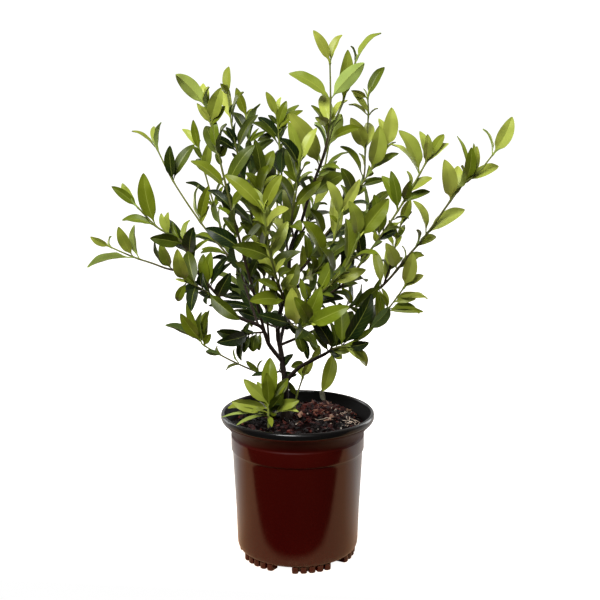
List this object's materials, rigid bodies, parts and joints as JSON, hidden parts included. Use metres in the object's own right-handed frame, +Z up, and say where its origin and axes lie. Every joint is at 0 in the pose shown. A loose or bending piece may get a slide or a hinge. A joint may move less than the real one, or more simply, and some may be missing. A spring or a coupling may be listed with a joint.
{
  "type": "potted gardenia",
  "caption": "Evergreen gardenia shrub with glossy opposite leaves on thin stems, not in flower, rooted in soil in a round ribbed-foot nursery pot.",
  "frame": {"origin": "on the pot's axis, in the plane that its feet stand on", "axes": "+Z up along the pot's axis, -Y towards the viewer, +X to the viewer's right"},
  "size_m": [0.5895, 0.3773, 0.7308],
  "materials": {
    "pot_plastic": "satin",
    "potting_soil": "rough",
    "bark": "rough",
    "leafy_stem": "glossy"
  },
  "bodies": {
    "root": {"basal_shoot": "leafy_stem", "leafy_stem_back_left": "leafy_stem", "leafy_stem_back_low": "leafy_stem", "leafy_stem_back_mid": "leafy_stem", "leafy_stem_back_right": "leafy_stem", "leafy_stem_back_top": "leafy_stem", "leafy_stem_back_upper": "leafy_stem", "leafy_stem_far_right": "leafy_stem", "leafy_stem_front_left": "leafy_stem", "leafy_stem_front_low": "leafy_stem", "leafy_stem_front_mid": "leafy_stem", "leafy_stem_front_right": "leafy_stem", "leafy_stem_inner_chain": "leafy_stem", "leafy_stem_inner_right": "leafy_stem", "leafy_stem_inner_top": "leafy_stem", "leafy_stem_left_cluster": "leafy_stem", "leafy_stem_left_long": "leafy_stem", "leafy_stem_left_low": "leafy_stem", "leafy_stem_left_upper": "leafy_stem", "leafy_stem_low_cluster": "leafy_stem", "leafy_stem_lower_left": "leafy_stem", "leafy_stem_right_low": "leafy_stem", "leafy_stem_right_mid": "leafy_stem", "leafy_stem_right_upper": "leafy_stem", "leafy_stem_top": "leafy_stem", "leafy_stem_upper_left": "leafy_stem", "leafy_stem_upper_mid": "leafy_stem", "pot": "pot_plastic", "soil": "potting_soil", "sucker": "leafy_stem", "trunk": "bark"}
  },
  "joints": []
}
